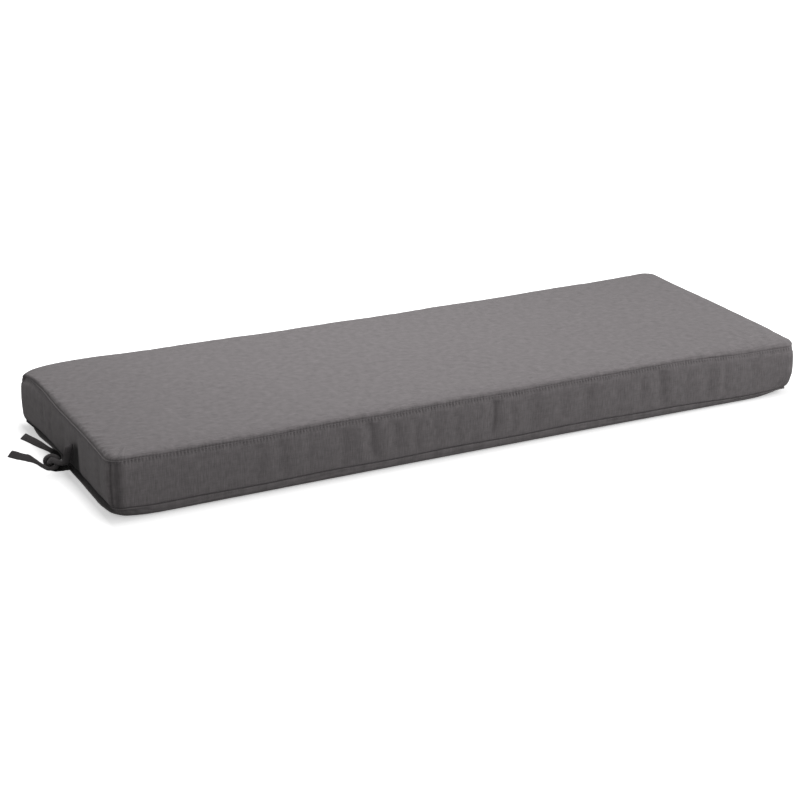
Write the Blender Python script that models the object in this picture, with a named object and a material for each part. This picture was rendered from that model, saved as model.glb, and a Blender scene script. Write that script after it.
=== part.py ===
"""Bench cushion: a box-edged foam cushion in a grey woven cover, with a pair of cloth ties at one end.

Units are metres and +Z is up. The origin is the middle of the underside. +X runs along the length, away
from the tied end, and -Y is the front. The cushion is one filled solid: top panel, boxing strip and bottom
panel are drawn in along two sewn seams. The ties are two flat straps, sewn into the foot seam and tied in a
loose half knot.
"""

import math
import random
from collections import namedtuple

import bmesh
import bpy
from mathutils import Vector

MM = 0.001

# Driving dimensions
LENGTH = 1.055
WIDTH = 0.380
TOP_SEAM = 0.0808        # height of the seam between top panel and boxing
FOOT_SEAM = 0.0140       # height of the seam between boxing and bottom panel
CORNER_RADIUS = 0.019    # in plan, at the boxing
FOOT_ROUNDING = 0.014    # added to the corners' radius at the floor
CORNER_TIGHTENING = 0.6  # the share of its inset that a ring's corner radius loses
LEAST_RADIUS = 0.003
DRAW_IN = 0.0030         # how far the sides pull in half way between the corners
DRAW_IN_REACH = 0.06     # how far inside the outline that fades out
BACK_SAG = 0.0032        # how far the back's top edge sinks half way between its corners
SAG_START = -0.2         # where the sag starts, as a share of the width from the middle
BACK_RISE = 0.0013       # how much fuller the foam is behind the middle
RISE_START = -0.08       # the Y where that starts, and where it is full
RISE_FULL = 0.10
FRONT_SAG = 0.0032       # how far the front's top seam hangs below its corners
CLEARANCE = 0.0003       # between a tie and what it is sewn to

# Stations round the plan
LONG_SIDES = ("front", "back")
LONG_SIDE_STEPS = 100
SHORT_SIDE_STEPS = 30
CORNER_STEPS = 5

# One row for each ring of the section, from the underside's rim to the middle of the top.
# inset: distance inside the plan's outline, in mm
# share: where the ring lies between the floor (0), the foot seam (1) and the top seam (2)
# lift: height added to that, in mm
# follow: how far the ring goes up and down with the seams' waviness
# fold: how much of the boxing's upright folds the ring takes
Ring = namedtuple("Ring", "inset share lift follow fold")
SECTION = (
    Ring(15.0, 0.00, 0.0, 0.0, 0.0),
    Ring(4.4, 0.00, 1.8, 0.0, 0.0),
    Ring(1.4, 0.50, 0.6, 0.6, 0.0),
    Ring(0.8, 1.00, -2.1, 1.0, 0.1),
    Ring(2.2, 1.00, 0.0, 1.0, 0.1),
    Ring(0.6, 1.00, 2.3, 1.0, 0.4),
    Ring(-0.3, 1.25, 0.0, 1.0, 0.8),
    Ring(-1.0, 1.52, 0.0, 1.0, 1.0),
    Ring(-0.3, 1.80, 0.0, 1.0, 0.8),
    Ring(0.6, 2.00, -2.3, 1.0, 0.3),
    Ring(2.2, 2.00, 0.0, 1.0, 0.0),
    Ring(1.6, 2.00, 2.0, 0.9, 0.0),
    Ring(4.6, 2.00, 4.3, 0.3, 0.0),
    Ring(13.0, 2.00, 5.4, 0.0, 0.0),
    Ring(45.0, 2.00, 6.4, 0.0, 0.0),
    Ring(100.0, 2.00, 7.6, 0.0, 0.0),
    Ring(182.0, 2.00, 8.4, 0.0, 0.0),
)

# The upright folds of the boxing on the front, from left to right.
# at: place along the length from the middle, depth: how far it is drawn in, half: its half width,
# lean: how far its top stands to the right of its foot, all in mm
Fold = namedtuple("Fold", "at depth half lean")
FRONT_FOLDS = (
    Fold(-329, 1.2, 12, 3),
    Fold(-297, 1.5, 12, -4),
    Fold(-206, 1.3, 13, 5),
    Fold(-168, 2.2, 12, -4),
    Fold(-130, 1.3, 14, 3),
    Fold(12, 2.4, 12, 8),
    Fold(78, 1.2, 15, -3),
    Fold(165, 1.6, 13, 4),
    Fold(288, 2.2, 12, -6),
    Fold(371, 1.3, 14, 4),
)
OTHER_FOLD_SPACING = 0.085
OTHER_FOLD_MARGIN = 0.06 # left plain at either end of a side
OTHER_FOLD_SEED = 11
FOLD_RIDGE = 0.35        # the raised share on either side of a fold
FOLD_RIDGE_SPREAD = 2.1

# The top panel rolls over the front edge towards the right, so the top seam comes down there.
ROLL_START = 0.20
ROLL_END = 0.45
ROLL_DEPTH = 0.25        # where it starts in front of the middle, as a share of the width
ROLL_DROP = 0.0052
FOOT_ROLL_DROP = 0.0045
SEAM_WAVE = 0.0006
SEAM_WAVE_LENGTH = 0.19

# The two corners that are worn soft, by the signs of their X and Y.
# drop: how far the top comes down there, fading: the distance over which that goes to a third,
# tuck: how far the foot is drawn in, half: the half width of that, all in mm
Corner = namedtuple("Corner", "sign_x sign_y drop fading tuck half")
SOFT_CORNERS = (
    Corner(-1, 1, 13.0, 24.0, 6.0, 34.0),
    Corner(1, -1, 4.0, 75.0, 7.5, 34.0),
)
TUCK_FROM = 0.8          # the share of the height where the tuck starts to fade, and where it is gone
TUCK_TO = 1.25

# The ties: stations along each strap from its seam, in mm.
# out, along, up: distance out of the cushion's end, towards its back, and above the floor
# across: the direction of the strap's width, as (out, along, up)
# wide, thick: the strap's section, narrower and rounder where the knot bunches it
TIE_PLACE = -0.0215      # along the end, from its middle
TIE_RINGS = 72
STRAP_SHOULDERS = (0.86, 0.55)  # half width of a strap's flat faces, as a share, where flat and where bunched
STRAP_EDGE = 0.4         # half height of a strap's edges, as a share of its half thickness
BUNCHED_FROM = 0.22      # thickness over width where a strap starts to bunch, and where it is fully bunched
BUNCHED_TO = 0.42
Station = namedtuple("Station", "out along up across wide thick")
FLAT = (0.0, 1.0, 0.0)
ROUND_THE_KNOT = (0.20, 0.98, 0.00)
HIGH_TIE = (
    Station(0.0, 0.0, 15.4, FLAT, 10.4, 2.0),
    Station(3.4, -0.4, 16.9, FLAT, 10.4, 2.0),
    Station(5.2, -3.0, 23.5, FLAT, 10.4, 2.0),
    Station(5.0, -8.0, 33.5, FLAT, 10.4, 2.0),
    Station(5.4, -14.5, 43.5, (0.25, 0.96, -0.10), 10.4, 2.0),
    Station(7.1, -21.5, 51.8, (0.73, 0.52, -0.44), 9.8, 2.2),
    Station(8.2, -25.5, 51.9, (0.83, 0.33, -0.46), 9.0, 2.4),
    Station(9.4, -25.1, 46.2, (0.88, 0.41, -0.25), 10.0, 2.2),
    Station(9.3, -21.0, 40.9, (0.90, 0.43, -0.05), 10.2, 2.0),
    Station(8.7, -16.0, 33.0, (0.88, 0.45, 0.15), 9.4, 2.2),
    Station(10.4, -11.2, 26.3, (0.72, 0.50, 0.48), 8.0, 2.8),
    Station(13.7, -6.8, 23.3, (0.45, 0.56, 0.70), 6.8, 3.8),
    Station(17.5, -3.2, 24.9, (0.15, 0.35, 0.93), 6.4, 4.4),
    Station(21.4, 1.4, 26.2, (-0.19, -0.15, 0.97), 6.6, 4.8),
    Station(24.2, 6.0, 24.8, (-0.50, -0.18, 0.85), 6.8, 5.0),
    Station(24.1, 11.0, 20.7, (-0.80, -0.21, 0.56), 6.8, 4.8),
    Station(19.2, 17.0, 16.6, (-0.88, -0.28, 0.38), 6.4, 4.0),
    Station(12.7, 21.6, 14.5, (-0.81, -0.32, 0.49), 7.0, 3.2),
    Station(8.0, 25.6, 17.8, (-0.76, -0.39, 0.51), 8.2, 2.4),
    Station(10.1, 30.6, 23.2, (-0.50, -0.42, 0.76), 9.0, 2.0),
    Station(16.7, 38.0, 27.9, (-0.14, -0.62, 0.77), 9.8, 2.0),
    Station(26.6, 48.6, 33.5, (-0.40, -0.22, 0.89), 10.2, 2.0),
    Station(34.6, 60.6, 37.0, (-0.44, -0.09, 0.89), 10.2, 2.0),
    Station(40.3, 71.0, 38.8, (-0.49, -0.01, 0.87), 10.2, 2.0),
)
LOW_TIE = (
    Station(0.0, 0.0, 12.6, FLAT, 10.4, 2.0),
    Station(3.4, 0.2, 12.5, (0.00, 0.99, 0.10), 10.2, 2.0),
    Station(7.4, 3.4, 12.6, (-0.06, 0.90, 0.42), 9.2, 2.2),
    Station(12.2, 8.4, 11.9, (-0.10, 0.79, 0.61), 8.2, 2.8),
    Station(16.9, 15.0, 10.0, (0.00, 0.92, 0.40), 7.0, 3.6),
    Station(23.9, 19.4, 11.7, ROUND_THE_KNOT, 6.2, 4.4),
    Station(27.1, 21.0, 18.7, ROUND_THE_KNOT, 6.2, 4.4),
    Station(24.8, 19.8, 24.0, ROUND_THE_KNOT, 6.2, 4.4),
    Station(19.6, 15.8, 26.7, ROUND_THE_KNOT, 6.2, 4.4),
    Station(14.8, 10.4, 25.1, ROUND_THE_KNOT, 6.2, 4.4),
    Station(14.5, 6.4, 20.3, ROUND_THE_KNOT, 6.2, 4.4),
    Station(19.5, 4.0, 15.8, (0.05, 0.93, -0.36), 6.4, 4.2),
    Station(27.7, 5.4, 14.8, (-0.12, 0.72, -0.68), 7.2, 3.4),
    Station(34.5, 10.6, 17.7, (-0.21, 0.30, -0.93), 8.0, 2.6),
    Station(39.9, 18.4, 21.4, (-0.30, 0.05, -0.95), 8.8, 2.2),
    Station(45.5, 28.5, 23.3, (-0.12, -0.50, -0.86), 9.6, 2.0),
    Station(51.6, 40.5, 22.3, (-0.04, -0.60, -0.80), 10.0, 2.0),
    Station(57.0, 51.5, 21.6, (-0.10, -0.62, -0.78), 10.2, 2.0),
    Station(62.2, 61.5, 21.2, (-0.23, -0.57, -0.79), 10.2, 2.0),
)

# Materials: linear colour and roughness of the cover's cloth and of the ties' cloth
COVER_GREY = (0.206, 0.190, 0.194, 1.0)
TIE_GREY = (0.130, 0.121, 0.124, 1.0)
CLOTH_ROUGHNESS = 0.9

# A station of the plan: the side it lies on, its share along that side, and the way out of the cushion
PlanPoint = namedtuple("PlanPoint", "side share out")


def clear_scene():
    for obj in list(bpy.data.objects):
        bpy.data.objects.remove(obj, do_unlink=True)


def cloth(name, colour):
    material = bpy.data.materials.new(name)
    material.use_nodes = True
    shader = material.node_tree.nodes["Principled BSDF"]
    shader.inputs["Base Color"].default_value = colour
    shader.inputs["Roughness"].default_value = CLOTH_ROUGHNESS
    shader.inputs["Metallic"].default_value = 0.0
    material.diffuse_color = colour
    return material


def smoothstep(low, high, value):
    t = min(max((value - low) / (high - low), 0.0), 1.0)
    return t * t * (3.0 - 2.0 * t)


# ---- The cushion's plan ------------------------------------------------------------------------------

def plan_points():
    """Stations once round the plan, counter-clockwise from the front's left end."""
    points = []
    for turn, side in enumerate(("front", "right", "back", "left")):
        count = LONG_SIDE_STEPS if side in LONG_SIDES else SHORT_SIDE_STEPS
        facing = -math.pi / 2 + turn * math.pi / 2
        for step in range(count + 1):
            points.append(PlanPoint(side, step / count, Vector((math.cos(facing), math.sin(facing), 0.0))))
        for step in range(1, CORNER_STEPS):
            angle = facing + step / CORNER_STEPS * math.pi / 2
            points.append(PlanPoint("corner", turn, Vector((math.cos(angle), math.sin(angle), 0.0))))
    return points


def plan_place(point, inset, rounding=0.0):
    """Where a station lies on the rounded rectangle that is `inset` inside the plan's outline."""
    radius = max(CORNER_RADIUS - CORNER_TIGHTENING * inset, LEAST_RADIUS) + rounding
    half_x = LENGTH / 2 - inset - radius
    half_y = WIDTH / 2 - inset - radius
    corner_signs = ((1, -1), (1, 1), (-1, 1), (-1, -1))
    if point.side == "corner":
        sign_x, sign_y = corner_signs[point.share]
        centre = Vector((sign_x * half_x, sign_y * half_y, 0.0))
        return centre + radius * point.out
    run = 2.0 * point.share - 1.0
    pull = DRAW_IN * (1.0 - run * run) * max(0.0, 1.0 - inset / DRAW_IN_REACH)
    along = Vector((-point.out.y, point.out.x, 0.0))
    half_run, half_depth = (half_x, half_y) if point.side in LONG_SIDES else (half_y, half_x)
    return along * run * half_run + point.out * (half_depth + radius - pull)


# ---- The boxing's folds and the seams' waviness ------------------------------------------------------

def seeded_folds():
    """Folds for the three sides that the front's table doesn't cover, at uneven steps."""
    dice = random.Random(OTHER_FOLD_SEED)
    folds = {}
    for side, run in (("right", WIDTH), ("back", LENGTH), ("left", WIDTH)):
        rows = []
        place = -run / 2 + OTHER_FOLD_MARGIN
        while place < run / 2 - OTHER_FOLD_MARGIN:
            depth = dice.uniform(0.7, 1.8)
            rows.append(Fold(place / MM, depth, dice.uniform(11, 15), dice.uniform(-6, 6)))
            place += OTHER_FOLD_SPACING * dice.uniform(0.7, 1.4)
        folds[side] = tuple(rows)
    return folds


def fold_depth(folds, place, height_share):
    """How far the boxing is drawn in at a place along a side: a valley with a low ridge on either side."""
    depth = 0.0
    for fold in folds:
        centre = fold.at + fold.lean * (height_share - 0.5)
        across = (place / MM - centre) / fold.half
        ridge = FOLD_RIDGE * math.exp(-((across / FOLD_RIDGE_SPREAD) ** 2))
        depth += fold.depth * MM * (math.exp(-across * across) - ridge)
    return depth


def seam_drop(place, most):
    """How far a seam comes down here: it rolls over the front's right end, and waves a little all round."""
    near_front = smoothstep(WIDTH * ROLL_DEPTH, WIDTH / 2 - CORNER_RADIUS, -place.y)
    wave = SEAM_WAVE * math.sin(2 * math.pi * (place.x - place.y) / SEAM_WAVE_LENGTH)
    return most * near_front * smoothstep(ROLL_START, ROLL_END, place.x) + wave


def back_sag(place):
    """How far the top sinks here: most at the middle of the back, less the rise of the fuller foam."""
    run = min(abs(place.x) / (LENGTH / 2), 1.0)
    sag = BACK_SAG * (1.0 - run * run) * smoothstep(SAG_START * WIDTH, WIDTH / 2, place.y)
    return sag - BACK_RISE * smoothstep(RISE_START, RISE_FULL, place.y)


def front_sag(place):
    """How far the front's top seam hangs here: eased in beside its left corner, and out towards the right."""
    near_front = smoothstep(WIDTH / 2 - 0.040, WIDTH / 2 - 0.005, -place.y)
    from_left = smoothstep(-LENGTH / 2 + 0.012, -LENGTH / 2 + 0.097, place.x)
    return FRONT_SAG * near_front * from_left * (1.0 - smoothstep(0.15, 0.33, place.x))


def from_corner(place, corner):
    """The distance in mm, seen from above, from a place to the sharp corner of the plan's rectangle."""
    across = (place.x - corner.sign_x * LENGTH / 2) / MM
    return math.hypot(across, (place.y - corner.sign_y * WIDTH / 2) / MM)


def corner_drop(place):
    """How far the top comes down beside the soft corners: it fades by a constant share with the distance."""
    drops = (corner.drop * math.exp(-from_corner(place, corner) / corner.fading) for corner in SOFT_CORNERS)
    return sum(drops) * MM


def corner_tuck(place, share):
    """How far the soft corners are drawn in at the foot: a bell round each, gone above the foot seam."""
    tuck = 0.0
    for corner in SOFT_CORNERS:
        tuck += corner.tuck * MM * math.exp(-((from_corner(place, corner) / corner.half) ** 2))
    return tuck * (1.0 - smoothstep(TUCK_FROM, TUCK_TO, share))


def ring_height(ring, place):
    seam_sinks = ring.follow * (seam_drop(place, ROLL_DROP) + front_sag(place))
    top = TOP_SEAM - seam_sinks - back_sag(place) - corner_drop(place)
    foot = FOOT_SEAM - ring.follow * seam_drop(place, FOOT_ROLL_DROP)
    if ring.share <= 1.0:
        height = foot * ring.share
    else:
        height = foot + (top - foot) * (ring.share - 1.0)
    return height + ring.lift * MM


def ring_points(ring, stations, folds):
    points = []
    rounding = FOOT_ROUNDING * max(0.0, 1.0 - ring.share)
    for station in stations:
        place = plan_place(station, ring.inset * MM, rounding)
        if ring.fold and station.side != "corner":
            side_run = LENGTH if station.side in LONG_SIDES else WIDTH
            at = (station.share - 0.5) * side_run
            place -= station.out * fold_depth(folds[station.side], at, ring.share - 1.0) * ring.fold
        place -= station.out * corner_tuck(place, ring.share)
        points.append(Vector((place.x, place.y, ring_height(ring, place))))
    return points


# ---- Building meshes from rings ----------------------------------------------------------------------

def add_ring(mesh, points):
    verts = [mesh.verts.new(point) for point in points]
    edges = [mesh.edges.new((verts[i - 1], verts[i])) for i in range(len(verts))]
    return verts, edges


def object_from_rings(name, rings, material):
    """One closed solid: each ring is bridged to the next, and the first and the last are capped."""
    mesh = bmesh.new()
    made = [add_ring(mesh, points) for points in rings]
    for (_, lower), (_, upper) in zip(made, made[1:]):
        bmesh.ops.bridge_loops(mesh, edges=lower + upper)
    for verts, _ in (made[0], made[-1]):
        mesh.faces.new(verts)
    bmesh.ops.recalc_face_normals(mesh, faces=mesh.faces)
    data = bpy.data.meshes.new(name)
    mesh.to_mesh(data)
    mesh.free()
    data.materials.append(material)
    data.shade_smooth()
    data.set_sharp_from_angle(angle=math.radians(40))
    obj = bpy.data.objects.new(name, data)
    bpy.context.scene.collection.objects.link(obj)
    return obj


def make_cushion():
    stations = plan_points()
    folds = {"front": FRONT_FOLDS, **seeded_folds()}
    rings = [ring_points(ring, stations, folds) for ring in SECTION]
    return object_from_rings("cushion", rings, cloth("grey_cover_cloth", COVER_GREY))


# ---- The ties ----------------------------------------------------------------------------------------

def eased(before, start, end, after, t):
    """A point on the smooth curve (Catmull-Rom) through four values, between the middle two."""
    return 0.5 * (
        2.0 * start
        + (end - before) * t
        + (2.0 * before - 5.0 * start + 4.0 * end - after) * t * t
        + (3.0 * start - before - 3.0 * end + after) * t * t * t
    )


def strap_sample(rows, t):
    """(middle, across, wide, thick) at the parameter t, which counts the stations."""
    index = min(int(t), len(rows) - 2)
    share = t - index
    near = [rows[min(max(index + step, 0), len(rows) - 1)] for step in (-1, 0, 1, 2)]
    middles = [Vector((row.out, row.along, row.up)) for row in near]
    acrosses = [Vector(row.across).normalized() for row in near]
    sizes = [Vector((row.wide, row.thick)) for row in near]
    return tuple(eased(*values, share) for values in (middles, acrosses, sizes))


def end_face_x():
    """The X of the cushion's end beside the foot seam, where the ties are sewn in."""
    lips = min(ring.inset for ring in SECTION[3:6])
    station = PlanPoint("left", 0.5 - TIE_PLACE / WIDTH, Vector((-1.0, 0.0, 0.0)))
    return plan_place(station, lips * MM).x


def strap_rings(rows):
    """Sections along a strap, square to its run: a flat oblong, or nearly an ellipse where it is bunched."""
    origin = Vector((end_face_x() - CLEARANCE, TIE_PLACE, 0.0))
    spans = len(rows) - 1
    samples = [strap_sample(rows, spans * step / (TIE_RINGS - 1)) for step in range(TIE_RINGS)]
    rings = []
    for step, (middle, across, size) in enumerate(samples):
        ahead = samples[min(step + 1, TIE_RINGS - 1)][0]
        behind = samples[max(step - 1, 0)][0]
        run = (ahead - behind).normalized()
        if step == 0:
            run = Vector((1.0, 0.0, 0.0))
        across = (across - across.dot(run) * run).normalized()
        through = run.cross(across)
        half_wide, half_thick = size / 2
        flat, bunched = STRAP_SHOULDERS
        shoulder = flat + (bunched - flat) * smoothstep(BUNCHED_FROM, BUNCHED_TO, half_thick / half_wide)
        half = ((shoulder, -1.0), (1.0, -STRAP_EDGE), (1.0, STRAP_EDGE), (shoulder, 1.0))
        section = half + tuple((-wide, -thick) for wide, thick in half)
        ring = []
        for wide, thick in section:
            local = (middle + across * wide * half_wide + through * thick * half_thick) * MM
            ring.append(origin + Vector((-local.x, local.y, local.z)))
        rings.append(ring)
    return rings


def make_ties():
    material = cloth("grey_tie_cloth", TIE_GREY)
    for name, rows in (("tie_high", HIGH_TIE), ("tie_low", LOW_TIE)):
        object_from_rings(name, strap_rings(rows), material)


clear_scene()
make_cushion()
make_ties()
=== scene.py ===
# %% [markdown]
# # A bench cushion with a pair of cloth ties
#
# The real thing is a long slab of foam in a sewn cover. The cover has three panels: a top, a bottom, and a
# strip called the boxing that runs round the sides. Two seams join them, and a pair of flat cloth straps is
# sewn into the lower seam at one end and tied in a loose half knot.
#
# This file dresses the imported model, which is loaded first and never moved. Each cell makes one thing.

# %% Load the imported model
import math
from collections import namedtuple

import bpy
import numpy as np
from mathutils import Matrix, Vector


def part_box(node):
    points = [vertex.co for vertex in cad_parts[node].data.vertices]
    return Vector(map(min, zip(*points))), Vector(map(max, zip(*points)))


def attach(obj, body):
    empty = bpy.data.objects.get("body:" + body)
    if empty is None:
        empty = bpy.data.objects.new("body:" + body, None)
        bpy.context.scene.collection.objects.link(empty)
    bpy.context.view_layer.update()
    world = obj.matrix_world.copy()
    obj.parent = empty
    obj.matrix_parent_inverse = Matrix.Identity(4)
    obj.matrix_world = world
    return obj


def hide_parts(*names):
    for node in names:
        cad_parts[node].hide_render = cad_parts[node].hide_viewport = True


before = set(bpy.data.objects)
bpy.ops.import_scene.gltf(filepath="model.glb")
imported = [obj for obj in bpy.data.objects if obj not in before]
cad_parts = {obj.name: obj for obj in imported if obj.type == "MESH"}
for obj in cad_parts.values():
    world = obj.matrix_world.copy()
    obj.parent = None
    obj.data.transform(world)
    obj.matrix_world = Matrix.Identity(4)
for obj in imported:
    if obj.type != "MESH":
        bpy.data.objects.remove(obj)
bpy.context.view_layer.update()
MM = 0.001

# %% [markdown]
# ## The camera
#
# A camera is a place, three turns and a lens. The lens is given here as a focal length in pixels of an
# 800 pixel frame, because that is what a fit to the object's edges gives. Blender wants millimetres on a
# 36 mm sensor, which is the same ratio.

# %% The camera
FRAME_PX = 800
SENSOR_MM = 36.0
FOCAL_PX = 1857.0
CAMERA_PLACE = (-1.1805, -2.2039, 0.9344)
YAW, PITCH, ROLL = (math.radians(angle) for angle in (27.573, 20.234, 0.355))


def put(name, data, place, right, up, back):
    """A camera or a lamp in the scene, at a place and with its own axes turned to these directions."""
    obj = bpy.data.objects.new(name, data)
    turn = Matrix(np.stack([right, up, back], axis=1).tolist()).to_4x4()
    obj.matrix_world = Matrix.Translation(place) @ turn
    bpy.context.scene.collection.objects.link(obj)
    return obj


def make_camera():
    """A camera that looks along the yaw and down by the pitch, then rolls about its own line of sight."""
    look = np.array((math.sin(YAW) * math.cos(PITCH), math.cos(YAW) * math.cos(PITCH), -math.sin(PITCH)))
    level = np.array((math.cos(YAW), -math.sin(YAW), 0.0))
    upright = np.cross(level, look)
    right = math.cos(ROLL) * level + math.sin(ROLL) * upright
    up = math.cos(ROLL) * upright - math.sin(ROLL) * level
    data = bpy.data.cameras.new("photo_camera")
    data.sensor_width = SENSOR_MM
    data.lens = FOCAL_PX / FRAME_PX * SENSOR_MM
    data.clip_end = 100.0
    return put("photo_camera", data, CAMERA_PLACE, right, up, -look)


bpy.context.scene.camera = make_camera()
print("lens", round(bpy.context.scene.camera.data.lens, 1), "mm")

# %% [markdown]
# ## Small tools for surfaces
#
# Cloth is never even, so most shapes here are a plain form plus a little wandering. `ramp` eases from 0 to 1
# and `bump` is a bell. `wander` and `drift` join random heights with eased curves, in one direction or two,
# and a fixed seed makes them give the same values every time. All of them take whole numpy arrays.

# %% Small tools for surfaces
MANY = 4096  # heights of a wander that isn't closed into a loop
LATTICE = 64  # heights along each side of a drift's lattice, after which it repeats
TINY = 1e-12


def ramp(low, high, value):
    """0 below low, 1 above high, and the eased curve 3t^2 - 2t^3 between them."""
    t = np.clip((value - low) / (high - low), 0.0, 1.0)
    return t * t * (3.0 - 2.0 * t)


def bump(value, half):
    """A bell of height 1: e to the power of minus (value / half) squared."""
    return np.exp(-((value / half) ** 2))


def unit(vectors):
    """The same directions with a length of 1."""
    return vectors / np.linalg.norm(vectors, axis=-1, keepdims=True)


def wander(place, spacing, seed, around=None):
    """Random heights from -1 to 1, one for each spacing, joined by eased curves. around closes the loop."""
    knots = MANY if around is None else max(round(around / spacing), 1)
    step = spacing if around is None else around / knots
    heights = np.random.default_rng(seed).uniform(-1.0, 1.0, knots)
    where = np.floor(place / step).astype(int)
    share = ramp(0.0, 1.0, place / step - where)
    return heights[where % knots] * (1.0 - share) + heights[(where + 1) % knots] * share


def drift(x, y, spacing, seed):
    """The same over a plane: random heights on a square lattice, eased along both directions."""
    heights = np.random.default_rng(seed).uniform(-1.0, 1.0, (LATTICE, LATTICE))
    col, row = np.floor(x / spacing).astype(int), np.floor(y / spacing).astype(int)
    across, along = ramp(0.0, 1.0, x / spacing - col), ramp(0.0, 1.0, y / spacing - row)

    def on_line(line):
        start, end = (heights[line % LATTICE, place % LATTICE] for place in (col, col + 1))
        return start * (1.0 - across) + end * across

    return on_line(row) * (1.0 - along) + on_line(row + 1) * along


def through_points(rows, steps):
    """A smooth curve through rows of values that never overshoots them (monotone cubic, Fritsch-Carlson).

    steps says how many points to make from each row to the next. The slope at a row is the harmonic mean of
    the two chords that meet there, or zero where they turn back.
    """
    rows = np.asarray(rows, dtype=float)
    chords = np.diff(rows, axis=0)
    before, after = chords[:-1], chords[1:]
    total = np.where(np.abs(before + after) > TINY, before + after, 1.0)
    slopes = np.zeros_like(rows)
    slopes[1:-1] = np.where(before * after > 0.0, 2.0 * before * after / total, 0.0)
    slopes[0], slopes[-1] = chords[0], chords[-1]
    where = np.concatenate([np.full(count, index) for index, count in enumerate(steps)])
    share = np.concatenate([np.arange(count) / count for count in steps])[:, None]
    start, end = rows[where], rows[where + 1]
    curve = (
        start * (2 * share**3 - 3 * share**2 + 1)
        + slopes[where] * (share**3 - 2 * share**2 + share)
        + end * (3 * share**2 - 2 * share**3)
        + slopes[where + 1] * (share**3 - share**2)
    )
    return np.vstack([curve, rows[-1]]), np.append(where, len(rows) - 1)


# %% [markdown]
# ## The outline of the cushion
#
# Seen from above the cushion is a rectangle with rounded corners, whose sides pull in a little half way
# between them. A place on the outline is a station: the side it lies on, its share of that side, and the
# way out. `outline` turns all the stations into points for any distance inside the edge.

# %% The outline of the cushion
BOXING_BULGE = 1.0 * MM
low_corner, high_corner = (np.array(corner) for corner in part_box("cushion"))
LENGTH = round(float(high_corner[0] - low_corner[0]) - 2 * BOXING_BULGE, 4)
WIDTH = 0.380
CORNER_RADIUS = 0.019
CORNER_TIGHTENING = 0.6  # what the radius loses for each step of inset, down to the least
LEAST_RADIUS = 0.003
FOOT_ROUNDING = 0.014  # what the radius gains at the floor
DRAW_IN = 0.0030  # how far a side pulls in at its middle
DRAW_IN_REACH = 0.06  # the inset at which that has ended

LONG_STEPS, SHORT_STEPS, ARC_STEPS = 1160, 388, 72
CORNER_SIGNS = np.array(((1, -1), (1, 1), (-1, 1), (-1, -1)))
FRONT, RIGHT, BACK, LEFT = range(4)


def make_stations():
    """Arrays of side, whether on a corner, run from -1 to 1 along the side, way out, and distance round."""
    blocks, start = [], 0.0
    turning, arc = np.arange(ARC_STEPS) / ARC_STEPS, CORNER_RADIUS * math.pi / 2
    for turn in range(4):
        steps, length = ((LONG_STEPS, LENGTH), (SHORT_STEPS, WIDTH))[turn % 2]
        going, straight = np.arange(steps) / steps, length - 2 * CORNER_RADIUS
        index = np.arange(steps + ARC_STEPS)
        blocks.append((
            0 * index + turn,
            index >= steps,
            np.append(2 * going - 1, 0 * turning),
            np.append(0 * going, turning) * math.pi / 2 + (turn - 1) * math.pi / 2,
            start + np.append(going * straight, straight + turning * arc),
        ))
        start += straight + arc
    side, corner, run, angle, distance = (np.concatenate(parts) for parts in zip(*blocks))
    out = np.stack([np.cos(angle), np.sin(angle)], axis=1)
    return {"side": side, "corner": corner, "run": run, "out": out, "distance": distance, "around": start}


STATIONS = make_stations()
AROUND = STATIONS["around"]


def outline(inset, rounding=0.0):
    """Points of the rounded rectangle that lies `inset` inside the edge, one for each station.

    A corner's point is its centre plus radius times the way out. A side's point is its middle plus a share
    of the half run, plus the way out times the half depth less the draw-in, which is 1 - run^2 of its most.
    """
    radius = max(CORNER_RADIUS - CORNER_TIGHTENING * inset, LEAST_RADIUS) + rounding
    half = np.array((LENGTH, WIDTH)) / 2 - inset - radius
    out, side, run = STATIONS["out"], STATIONS["side"], STATIONS["run"][:, None]
    along = np.stack([-out[:, 1], out[:, 0]], axis=1)
    half_run, half_depth = (np.where(side % 2 == 0, *pair)[:, None] for pair in (half, half[::-1]))
    pull = DRAW_IN * (1.0 - run**2) * max(0.0, 1.0 - inset / DRAW_IN_REACH)
    straight = along * run * half_run + out * (half_depth + radius - pull)
    rounded = CORNER_SIGNS[side] * half + radius * out
    return np.where(STATIONS["corner"][:, None], rounded, straight)


def place_on(side, at):
    """Distance round the outline of a place `at` metres from a side's middle, counted along X or Y."""
    straight = (LENGTH if side % 2 == 0 else WIDTH) - 2 * CORNER_RADIUS
    start = STATIONS["distance"][np.flatnonzero(STATIONS["side"] == side)[0]]
    return start + straight / 2 + (at if side in (FRONT, RIGHT) else -at)


def gap_from(distance, place):
    """How far a station is from a place round the outline, the short way, with its sign."""
    return (distance - place + AROUND / 2) % AROUND - AROUND / 2


print("outline", round(AROUND, 3), "m round,", len(STATIONS["side"]), "stations")

# %% [markdown]
# ## The section of the cushion
#
# A cut through the edge shows how the cover is sewn: the bottom panel wraps up round the foot, a groove, the
# boxing's soft bulge, the seam allowance that stands up as a thin lip, a second groove, and the top panel
# that rolls over the foam's edge and crowns. The table lists a row for each turn of that line, and the
# smooth curve through it gives the rest. Near the top seam the mesh is four times as fine as in the middle
# of the panels, because that is where the stitches pull.

# %% The section of the cushion
TOP_SEAM, FOOT_SEAM = 0.0808, 0.0140  # their heights
COARSE, MEDIUM, FINE = 4, 2, 1  # stations for each vertex
UNDER, BOXING, TOP = range(3)
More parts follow.
